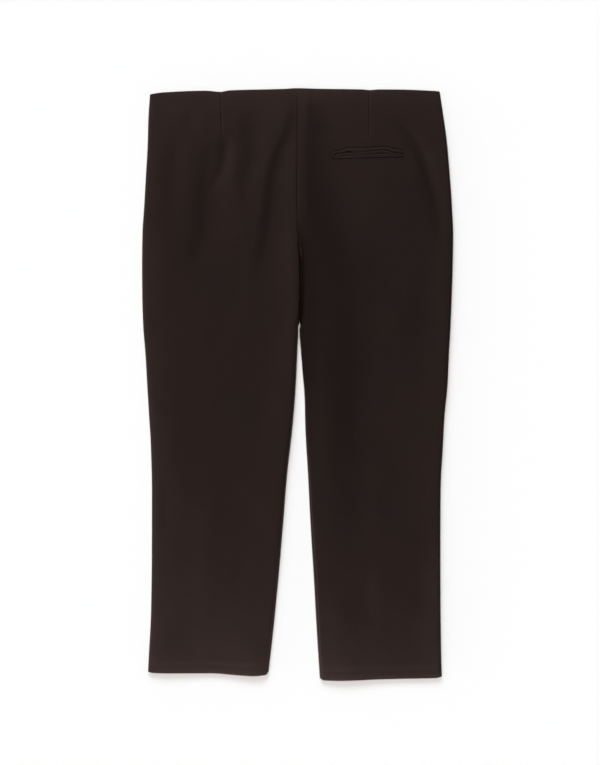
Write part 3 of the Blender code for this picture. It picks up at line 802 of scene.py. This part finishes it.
def middle_columns(half, layer, first, last):
    """Places of the columns between the two ends of a panel."""
    held = held_columns(half.side, layer)
    shares = (held - MIDDLE_FROM) / (MIDDLE_TO - MIDDLE_FROM)
    if layer == "back":
        dart = abs(DARTS[half.side][1])
        lean = abs(dart_x(half.side, half.y)) - dart
        held = held + lean * bell(held - dart, DART_LEAN_HALF)
    first, last = first + COLUMN_MARGIN, last - COLUMN_MARGIN
    marks = (MIDDLE_FROM, POCKET[0][0], POCKET[-1][0], MIDDLE_TO)
    held = np.interp(held, marks, (first, *marks[1:3], last))
    spread = first + shares * (last - first)
    keep = smooth_step(COLUMNS_FREE_Y, COLUMNS_HELD_Y, half.y)
    return spread + keep * (held - spread)


def with_normals(ends_and_middle):
    """Joins the parts of a section. The middle part's normals come from the joined line."""
    points = np.concatenate([part[0] for part in ends_and_middle])
    normals = upward(points)
    start = 0
    for part, own in ends_and_middle:
        if own is not None:
            normals[start : start + len(part)] = own
        start += len(part)
    return points, normals


def back_section(side, y):
    """The outer line of a back panel and its normals, from its inner seam to its side seam."""
    half = Half(side, y)
    inner_end, outer_end = back_inner_end(half), back_outer_end(half)
    u = middle_columns(half, "back", inner_end[0][-1][0], outer_end[0][0][0])
    middle = np.stack((u, half.top(u)), axis=1)
    return with_normals((inner_end, (middle, None), outer_end))


def front_section(side, y):
    """The outer line of a front panel and its normals, from its inner seam to its side seam."""
    half = Half(side, y)
    shares = np.linspace(0.0, 1.0, SEAM_COLUMNS + ROUND_COLUMNS + NEAR_COLUMNS) ** CROWDING
    steps = FRONT_REACH * shares
    u = half.seam + SEAM_GAP / 2 + steps
    down = np.tile((0.0, -1.0), (len(u), 1))
    together = sink(np.stack((u, half.under(u)), axis=1), down, steps), down
    lap = half.inner_lap - SEAM_GAP / 2
    back_to = (steps / FRONT_REACH) * (lap + UNDER_REACH)
    points, normals = half.edge(half.inner, 1.0, lap - back_to)
    inner_end = where_legs_part(half, together, (sink(points, normals, back_to), normals))

    lap = half.side_lap - SEAM_GAP / 2
    back_to = (lap + UNDER_REACH) * np.linspace(1.0, 0.0, END_COLUMNS) ** CROWDING
    points, normals = half.edge(half.outer, -1.0, lap - back_to)
    outer_end = sink(points, normals, back_to), normals
    u = middle_columns(half, "front", inner_end[0][-1][0], outer_end[0][0][0])
    middle = np.stack((u, half.under(u)), axis=1)
    return with_normals((inner_end, (middle, -upward(middle)), outer_end))


def stations():
    """Places of the rows along Y, closer together where something crosses the cloth."""
    rows = [HEM_Y]
    for low, high, count in STRETCHES:
        rows += list(np.linspace(low, high, count + 1)[1:])
    return np.array(rows)


def front_dip(x):
    """How much lower the front waist edge is than the back one."""
    return FRONT_DIP * (1.0 - smooth_step(*DIP_FADES, np.abs(x)))


def pocket_shift(x, y):
    """How far a row bends from its station, to follow the seams of the pocket."""
    upper = curve(POCKET, 1, x) - POCKET_TOP_Y
    lower = curve(POCKET, 3, x) - POCKET_BOTTOM_Y
    up = np.clip((y - POCKET_BOTTOM_Y) / (POCKET_TOP_Y - POCKET_BOTTOM_Y), 0.0, 1.0)
    beyond = max(y - POCKET_TOP_Y, POCKET_BOTTOM_Y - y, 0.0)
    fade = 1.0 - smooth_step(0.0, POCKET_REACH, beyond)
    return (lower + up * (upper - lower)) * near_pocket(x, POCKET_FADE) * fade


def row_shift(side, layer, x, y):
    """How far the points of a row lie from their station: rows near an edge run along it."""
    near_waist = smooth_step(WAIST_Y - END_BAND, WAIST_Y, y)
    near_hem = smooth_step(HEM_Y + END_BAND, HEM_Y, y)
    shift = near_waist * (curve(WAIST_EDGE, 1, x) - WAIST_Y) + near_hem * (curve(HEM_EDGE, 1, x) - HEM_Y)
    if layer == "front":
        return shift - near_waist * front_dip(x)
    return shift + pocket_shift(x, y) if side == "right" else shift


def round_end(outer, inner, direction):
    """Rows that round a turned-in edge, from its last row outwards: pairs of an outer and an inner row."""
    middle = 0.5 * (outer + inner)
    across = outer - middle
    beyond = np.linalg.norm(across, axis=1)[:, None] * np.array((0.0, direction, 0.0))
    rows = []
    for turn in np.radians(ROUND_TURNS):
        out, side = np.sin(turn) * beyond, np.cos(turn) * across
        rows.append((middle + side + out, middle - side + out))
    return rows


def panel_grids(side, layer):
    """The outer and the inner grid of a panel, with a rounded, turned-in edge at the hem and waist."""
    section = back_section if layer == "back" else front_section
    sign = -1.0 if side == "left" else 1.0
    rows = []
    inset = FOLDED / 2
    for y in stations():
        points, normals = section(side, y)
        x, z = sign * points[:, 0], points[:, 1]
        outward = np.stack((sign * normals[:, 0], np.zeros(len(x)), normals[:, 1]), axis=1)
        # The rounded edge takes up the last stretch, so the rows stop short of it.
        stay = np.clip(y, HEM_Y + inset, WAIST_Y - inset)
        placed = np.stack((x, stay + row_shift(side, layer, x, y), z), axis=1)
        rows.append((placed, placed - thickness(y) * outward))
    rows = round_end(*rows[0], -1.0)[::-1] + rows + round_end(*rows[-1], 1.0)
    return np.array([outer for outer, _ in rows]), np.array([inner for _, inner in rows])


def add_to_scene(name, data):
    """A new object in the scene."""
    made = bpy.data.objects.new(name, data)
    bpy.context.scene.collection.objects.link(made)
    return made


def new_object(name, points, faces, material):
    """A closed body with its faces pointing out, which rides on the garment."""
    points = np.asarray(points, dtype=float)
    volume = 0.0
    for size in {len(face) for face in faces}:
        group = np.array([face for face in faces if len(face) == size])
        for k in range(1, size - 1):
            a, b, c = (points[group[:, n]] for n in (0, k, k + 1))
            volume += float(np.einsum("ij,ij->", a, np.cross(b, c)))
    if volume < 0:
        faces = [tuple(reversed(face)) for face in faces]
    mesh = bpy.data.meshes.new(name)
    mesh.from_pydata(points.tolist(), [], faces)
    mesh.update()
    mesh.shade_smooth()
    mesh.set_sharp_from_angle(angle=SHARP_ANGLE)
    mesh.materials.append(material)
    made = add_to_scene(name, mesh)
    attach(made, "root")
    return made


def lay_pattern(piece, values):
    """Gives a piece its weave map: metres across and along the cloth at each point."""
    layer = piece.data.uv_layers.new(name="weave")
    corners = np.zeros(len(piece.data.loops), dtype=np.int32)
    piece.data.loops.foreach_get("vertex_index", corners)
    layer.uv.foreach_set("vector", values[corners].astype(np.float32).ravel())


def wall(name, outer, inner, material, hole=()):
    """A closed wall between two grids of points. hole holds the cells, as row and column, that are open."""
    rows, columns = outer.shape[:2]
    points = np.concatenate((outer.reshape(-1, 3), inner.reshape(-1, 3)))
    under = rows * columns
    hole = set(hole)
    cells = {(r, c) for r in range(rows - 1) for c in range(columns - 1)} - hole
    faces = []
    for r, c in sorted(cells):
        a, b = r * columns + c, r * columns + c + 1
        d, e = a + columns, b + columns
        faces.append((a, b, e, d))
        faces.append((under + d, under + e, under + b, under + a))
        if 0 < r < rows - 2 and 0 < c < columns - 2 and not hole:
            continue
        beside = (((r - 1, c), a, b), ((r + 1, c), e, d), ((r, c - 1), d, a), ((r, c + 1), b, e))
        faces += [(q, p, under + p, under + q) for cell, p, q in beside if cell not in cells]
    across = np.cumsum(np.linalg.norm(np.diff(outer, axis=1, prepend=outer[:, :1]), axis=2), axis=1)
    pattern = np.stack((across, outer[:, :, 1]), axis=2).reshape(-1, 2)
    pattern = np.concatenate((pattern, pattern))
    used = np.array(sorted({k for face in faces for k in face}))
    renumber = np.zeros(len(points), dtype=int)
    renumber[used] = np.arange(len(used))
    faces = [tuple(int(renumber[k]) for k in face) for face in faces]
    made = new_object(name, points[used], faces, material)
    lay_pattern(made, pattern[used])
    return made


def tube_faces(start, rings, count):
    """Faces of a closed body through rings of count points each, numbered from start."""
    faces = []
    for k in range(rings - 1):
        low, high = start + k * count, start + (k + 1) * count
        for n in range(count):
            m = (n + 1) % count
            faces.append((low + n, low + m, high + m, high + n))
    faces.append(tuple(start + n for n in reversed(range(count))))
    faces.append(tuple(start + (rings - 1) * count + n for n in range(count)))
    return faces


def loft(name, rings, material):
    """A closed body through rings of as many points each, with a flat cap at both ends."""
    rings = np.asarray(rings)
    points = rings.reshape(-1, 3)
    made = new_object(name, points, tube_faces(0, *rings.shape[:2]), material)
    lay_pattern(made, points[:, :2])
    return made


def pocket_height(x):
    """Height of the panel's cut edge round the pocket, at places along it."""
    return Half("right", 0.5 * (POCKET_TOP_Y + POCKET_BOTTOM_Y)).top(np.asarray(x, dtype=float))


def welt(name, is_upper, material):
    """One folded strip of the pocket: full beside its seam, and rolled down into the slit."""
    first, last = POCKET[0][0] + SEAM_GAP, POCKET[-1][0] - SEAM_GAP
    places = np.linspace(first, last, int((last - first) / WELT_STEP) + 1)
    turn = np.linspace(WELT_TURN[0] * np.pi, WELT_TURN[1] * np.pi, WELT_POINTS)
    middle = np.arccos(signed_power(WELT_MIDDLE, 1.0 / WELT_SQUARE))
    turn = np.sort(np.concatenate((turn, middle)))[::-1]
    across = 0.5 * (1.0 + signed_power(np.cos(turn), WELT_SQUARE))
    raised = signed_power(np.sin(turn), WELT_SQUARE)
    rings = []
    for x, low in zip(places, pocket_height(places)):
        seam = float(curve(POCKET, 1 if is_upper else 3, x))
        seam += -SEAM_GAP if is_upper else SEAM_GAP
        half_slit = float(curve(SLIT, 1, x))
        slit = float(curve(POCKET, 2, x)) + (half_slit if is_upper else -half_slit)
        end = 1.0 - np.exp(-min(x - POCKET[0][0], POCKET[-1][0] - x) / WELT_END)
        crown = (POCKET_DIP + WELT_RISE * end) * np.where(raised > 0, raised, 0.0)
        height = crown + WELT_DEPTH * np.where(raised < 0, raised, 0.0)
        if not is_upper:
            at, half, depth = MID_LINE
            height -= depth * bell(1.0 - across - at, half) * (raised > 0)
        ring = [(x, seam + a * (slit - seam), low + h) for a, h in zip(across, height)]
        ring += [(x, slit, low - WELT_DEPTH), (x, seam, low - WELT_DEPTH)]
        rings.append(ring)
    return loft(name, rings, material)


def facing(name, material):
    """The strip of cloth behind the slit."""
    along, across = FACING_POINTS
    x = np.linspace(POCKET[0][0] - FACING_OVERHANG, POCKET[-1][0] + FACING_OVERHANG, along)
    y = np.linspace(-FACING_HALF, FACING_HALF, across)
    slit = curve(POCKET, 2, x)
    height = pocket_height(x) - WELT_DEPTH - FACING_GAP
    top = np.array([[(a, s + b, h) for a, s, h in zip(x, slit, height)] for b in y])
    return wall(name, top, top - (0.0, 0.0, FACING_THICKNESS), material)


def threads(name, ends, material):
    """Short lengths of thread, each from one point to another and sunk at both ends. ends holds rows
    of the two points and the cloth's normal."""
    angles = np.linspace(0.0, 2 * np.pi, THREAD_SIDES, endpoint=False)
    points, faces = [], []
    for a, b, normal in ends:
        side = np.cross((b - a) / np.linalg.norm(b - a), normal)
        faces += tube_faces(len(points), len(THREAD_SHAPE), THREAD_SIDES)
        for share, size, rise in THREAD_SHAPE:
            middle = a + share * (b - a) + rise * THREAD * normal
            for angle in angles:
                points.append(middle + size * THREAD * (np.cos(angle) * side + np.sin(angle) * normal))
    points = np.array(points)
    made = new_object(name, points, faces, material)
    lay_pattern(made, points[:, :2])
    return made


def stitches_along(name, line, normals, material):
    """A row of stitches along a line of points on the cloth."""
    length = run_length(line)
    ends = []
    for start in np.arange(STITCH_PITCH / 2, length[-1] - STITCH_PITCH, STITCH_PITCH):
        a, b = (read_along(length, line, at) for at in (start, start + STITCH_LENGTH))
        normal = read_along(length, normals, start)
        ends.append((a, b, normal / np.linalg.norm(normal)))
    return threads(name, ends, material)


def bar_tack(name, x, material):
    """Close stitches across one end of the pocket."""
    low, high = (float(curve(POCKET, k, x)) for k in (3, 1))
    height = float(pocket_height([x])[0]) + POCKET_DIP
    ends = []
    for k, y in enumerate(np.linspace(low, high, TACK_THREADS)):
        lean = TACK_LEAN * (-1) ** k
        a = np.array((x - TACK_WIDTH / 2, y - lean, height))
        b = np.array((x + TACK_WIDTH / 2, y + lean, height))
        ends.append((a, b, np.array((0.0, 0.0, 1.0))))
    return threads(name, ends, material)


def row_near(y):
    """Index in a panel's grid of the row nearest to a station."""
    return len(ROUND_TURNS) + int(np.argmin(np.abs(stations() - y)))


def pocket_cells(outer):
    """The cells of the right back panel that the pocket takes out."""
    rows = range(row_near(POCKET_BOTTOM_Y), row_near(POCKET_TOP_Y))
    x = outer[row_near(POCKET_TOP_Y), :, 0]
    first, last = (int(np.argmin(np.abs(x - POCKET[k][0]))) for k in (0, -1))
    return [(r, c) for r in rows for c in range(first, last)]


def build(materials):
    """The four panels, each with its hem's stitches, and the pocket."""
    for side in ("left", "right"):
        for layer in ("front", "back"):
            outer, inner = panel_grids(side, layer)
            hole = pocket_cells(outer) if (side, layer) == ("right", "back") else ()
            panel = wall(f"cloth_{layer}_{side}", outer, inner, materials[layer], hole)
            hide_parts(f"{layer}_{side}")
            row = row_near(HEM_Y + HEM_STITCH)
            normals = outer[row] - inner[row]
            seam = stitches_along(f"hem_stitches_{layer}_{side}", outer[row], normals, materials["thread"])
            extra = [seam]
            if hole:
                extra += pocket_pieces(materials)


def pocket_pieces(materials):
    """The two welts, the facing and the bar tacks of the pocket."""
    made = []
    for name, is_upper in (("upper", True), ("lower", False)):
        strip = welt(f"welt_{name}", is_upper, materials["welt"])
        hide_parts(f"pocket_welt_{name}")
        made.append(strip)
    behind = facing("facing", materials["facing"])
    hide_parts("pocket_facing")
    made.append(behind)
    for name, x in (("inner", POCKET[0][0] + TACK_INSET), ("outer", POCKET[-1][0] - TACK_INSET)):
        tack = bar_tack(f"bar_tack_{name}", x, materials["thread"])
        made.append(tack)
    return made


class Nodes:
    """Makes and links the nodes of a material or a world, up to its shader."""

    def __init__(self, owner, shader):
        owner.use_nodes = True
        self.tree = owner.node_tree
        self.shader = self.tree.nodes[shader]

    def put(self, node, inputs):
        """Gives sockets, by name or number, their numbers, colours or links from other nodes."""
        for key, value in inputs.items():
            if isinstance(value, bpy.types.NodeSocket):
                self.tree.links.new(value, node.inputs[key])
            else:
                node.inputs[key].default_value = value

    def add(self, kind, inputs=None, **settings):
        """A new node with its inputs, and with settings on the node itself."""
        node = self.tree.nodes.new(kind)
        for key, value in settings.items():
            setattr(node, key, value)
        self.put(node, inputs or {})
        return node

    def noise(self, vector, scale, detail, roughness):
        inputs = {"Vector": vector, "Scale": scale, "Detail": detail, "Roughness": roughness}
        return self.add("ShaderNodeTexNoise", inputs).outputs["Fac"]

    def math(self, operation, a, b=0.0):
        return self.add("ShaderNodeMath", {0: a, 1: b}, operation=operation).outputs[0]

    def remap(self, value, low, high, to_low, to_high, kind="LINEAR"):
        inputs = {"Value": value, "From Min": low, "From Max": high, "To Min": to_low, "To Max": to_high}
        return self.add("ShaderNodeMapRange", inputs, interpolation_type=kind).outputs["Result"]

    def mix(self, share, a, b):
        """Goes from colour a to colour b."""
        node = self.add("ShaderNodeMix", data_type="RGBA")
        self.put(node, {"Factor": share, 6: (*a, 1.0), 7: (*b, 1.0)})
        return node.outputs[2]

    def bump(self, height, distance, normal=None):
        inputs = {"Height": height, "Distance": distance, "Strength": 1.0}
        if normal is not None:
            inputs["Normal"] = normal
        return self.add("ShaderNodeBump", inputs).outputs["Normal"]


def cloth_material(name, dark, light):
    """Smooth stretch cloth: fine courses and wales, a slight heather, and a soft bloom."""
    material = bpy.data.materials.new(name)
    nodes = Nodes(material, "Principled BSDF")
    weave = nodes.add("ShaderNodeUVMap", uv_map="weave").outputs["UV"]
    follows = {"weave": weave, "place": nodes.add("ShaderNodeTexCoord").outputs["Object"]}
    part = {key: nodes.noise(follows[of], *numbers) for key, (of, *numbers) in NOISES.items()}
    apart = nodes.add("ShaderNodeSeparateXYZ", {"Vector": weave}).outputs
    bend = nodes.math("MULTIPLY", part["bend"], RIB_BEND)
    ribs = []
    for axis, pitch in (("X", WALE), ("Y", COURSE)):
        turns = nodes.math("MULTIPLY", apart[axis], 2 * np.pi / pitch)
        ribs.append(nodes.math("SINE", nodes.math("ADD", turns, bend)))
    loops = nodes.math("ADD", ribs[0], nodes.math("MULTIPLY", ribs[1], COURSE_SHARE))
    part["loops"] = nodes.remap(loops, -1.0 - COURSE_SHARE, 1.0 + COURSE_SHARE, 0.0, 1.0)

    def times(key, table):
        return nodes.math("MULTIPLY", part[key], table[key])

    for key in ("clouds", "heather"):
        part[key] = nodes.math("SUBTRACT", part[key], 0.5)
    share = nodes.math("ADD", times("clouds", SHADING), times("heather", SHADING))
    # painted shade: the gaps between the knit's loops come out darker than the crests
    share = nodes.math("ADD", share, times("loops", SHADING))
    share = nodes.remap(nodes.math("ADD", share, SHADING["base"]), 0.0, 1.0, 0.0, 1.0)
    rough = nodes.math("ADD", times("fibre", ROUGHNESS), times("loops", ROUGHNESS))
    normal = None
    for key, depth in BUMPS.items():
        normal = nodes.bump(part[key], depth, normal)
    nodes.put(nodes.shader, {
        "Base Color": nodes.mix(share, dark, light),
        "Roughness": nodes.math("ADD", rough, ROUGHNESS["base"]),
        "Sheen Weight": SHEEN_WEIGHT,
        "Sheen Roughness": SHEEN_ROUGHNESS,
        "Sheen Tint": (*SHEEN_TINT, 1.0),
        "Specular IOR Level": SPECULAR,
        "IOR": CLOTH_IOR,
        "Normal": normal,
    })
    return material


def thread_material(name):
    """Spun thread with its twist."""
    material = bpy.data.materials.new(name)
    nodes = Nodes(material, "Principled BSDF")
    inputs = {"Vector": nodes.add("ShaderNodeUVMap", uv_map="weave").outputs["UV"], "Scale": THREAD_TWIST}
    twist = nodes.add("ShaderNodeTexWave", inputs, bands_direction="DIAGONAL").outputs["Fac"]
    # painted shade: darker in the grooves between the turns of the twist
    shade = [THREAD_PAINTED_SHADE * c for c in THREAD_COLOUR]
    nodes.put(nodes.shader, {
        "Base Color": nodes.mix(twist, shade, THREAD_COLOUR),
        "Roughness": nodes.remap(twist, 0.0, 1.0, *THREAD_ROUGHNESS),
        "Sheen Weight": THREAD_SHEEN,
        "Specular IOR Level": THREAD_SPECULAR,
        "Normal": nodes.bump(twist, THREAD_BUMP),
    })
    return material


def floor_material():
    """Plain, pale and matt, with a very slight grain."""
    material = bpy.data.materials.new("floor")
    nodes = Nodes(material, "Principled BSDF")
    grain = nodes.noise(nodes.add("ShaderNodeTexCoord").outputs["Object"], *FLOOR_GRAIN)
    shade = [FLOOR_SHADE * c for c in FLOOR_COLOUR]
    nodes.put(nodes.shader, {
        "Base Color": nodes.mix(grain, shade, FLOOR_COLOUR),
        "Roughness": FLOOR_ROUGHNESS,
        "Specular IOR Level": FLOOR_SPECULAR,
    })
    return material


def make_floor():
    """The table top, a hair's breadth under the garment."""
    mesh = bpy.data.meshes.new("floor")
    corners = [(x * FLOOR_HALF, y * FLOOR_HALF, FLOOR_Z) for x, y in ((-1, -1), (1, -1), (1, 1), (-1, 1))]
    mesh.from_pydata(corners, [], [(0, 1, 2, 3)])
    mesh.materials.append(floor_material())
    floor = add_to_scene("floor", mesh)
    return floor


def add_light(light, place, towards, shines_on):
    """Puts a light in the scene, which shines on the given objects only."""
    lamp = add_to_scene(light.name, light)
    lamp.location = place
    lamp.rotation_euler = Vector(towards).to_track_quat("Z", "Y").to_euler()
    lamp.light_linking.receiver_collection = shines_on
    lamp.visible_camera = False


def make_lights(floor):
    """The suns and the soft boxes, for the cloth and for the floor."""
    lit = {kind: bpy.data.collections.new(f"lit_{kind}") for kind in ("cloth", "floor")}
    for thing in bpy.context.scene.objects:
        if thing.type == "MESH":
            lit["floor" if thing == floor else "cloth"].objects.link(thing)
    for name, (shines_on, azimuth, elevation, size, strength) in SUNS.items():
        sun = bpy.data.lights.new(name, "SUN")
        sun.energy = strength
        sun.angle = np.radians(size)
        sun.color = SUN_TINTS.get(name, WHITE)
        turn, rise = np.radians((azimuth, elevation))
        towards = (np.cos(turn) * np.cos(rise), np.sin(turn) * np.cos(rise), np.sin(rise))
        add_light(sun, (0.0, 0.0, 1.0), towards, lit[shines_on])
    for name, (place, (width, depth), watts) in BOXES.items():
        box = bpy.data.lights.new(name, "AREA")
        box.shape = "RECTANGLE"
        box.size, box.size_y = width, depth
        box.energy = watts
        x, y, z = place
        add_light(box, place, (x, y - BOX_AIM * y, z), lit["cloth"])


def make_world():
    """The studio round the scene: pale walls, brighter on the left, and a dim ceiling."""
    world = bpy.data.worlds.new("studio")
    nodes = Nodes(world, "Background")
    place = nodes.add("ShaderNodeTexCoord").outputs["Generated"]
    apart = nodes.add("ShaderNodeSeparateXYZ", {"Vector": place}).outputs
    upwards = nodes.remap(apart["Z"], WALLS_TO, CEILING_FROM, WALLS, CEILING, "SMOOTHSTEP")
    rightwards = nodes.remap(apart["X"], -1.0, 1.0, LEFT_SIDE, RIGHT_SIDE)
    strength = nodes.math("MULTIPLY", upwards, rightwards)
    nodes.put(nodes.shader, {"Color": (*WHITE, 1.0), "Strength": strength})
    bpy.context.scene.world = world


def make_camera():
    """Straight above the garment, framed as the photograph is."""
    width, height = PICTURE_PX
    lens = bpy.data.cameras.new("camera")
    lens.sensor_width = SENSOR_MM
    lens.lens = SENSOR_MM * CAMERA_HEIGHT / (height * METRES_PER_PX)
    x = (width / 2 - ORIGIN_PX[0]) * METRES_PER_PX
    y = (ORIGIN_PX[1] - height / 2) * METRES_PER_PX
    camera = add_to_scene("camera", lens)
    camera.location = (x, y, CAMERA_HEIGHT)
    bpy.context.scene.camera = camera
    bpy.context.scene.view_settings.view_transform = "Standard"


def main():
    """Builds the garment round the frame, with its floor, lights and camera."""
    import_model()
    materials = {
        "back": cloth_material("cloth_back", CLOTH_DARK, CLOTH_LIGHT),
        "front": cloth_material("cloth_front", CLOTH_DARK, CLOTH_LIGHT),
        "welt": cloth_material("welt", CLOTH_DARK, CLOTH_LIGHT),
        # painted shade: the facing is painted darker than the cloth, where the slit shades it
        "facing": cloth_material("facing", FACING_PAINTED_SHADE, CLOTH_DARK),
        "thread": thread_material("thread"),
    }
    build(materials)
    make_lights(make_floor())
    make_world()
    make_camera()


main()
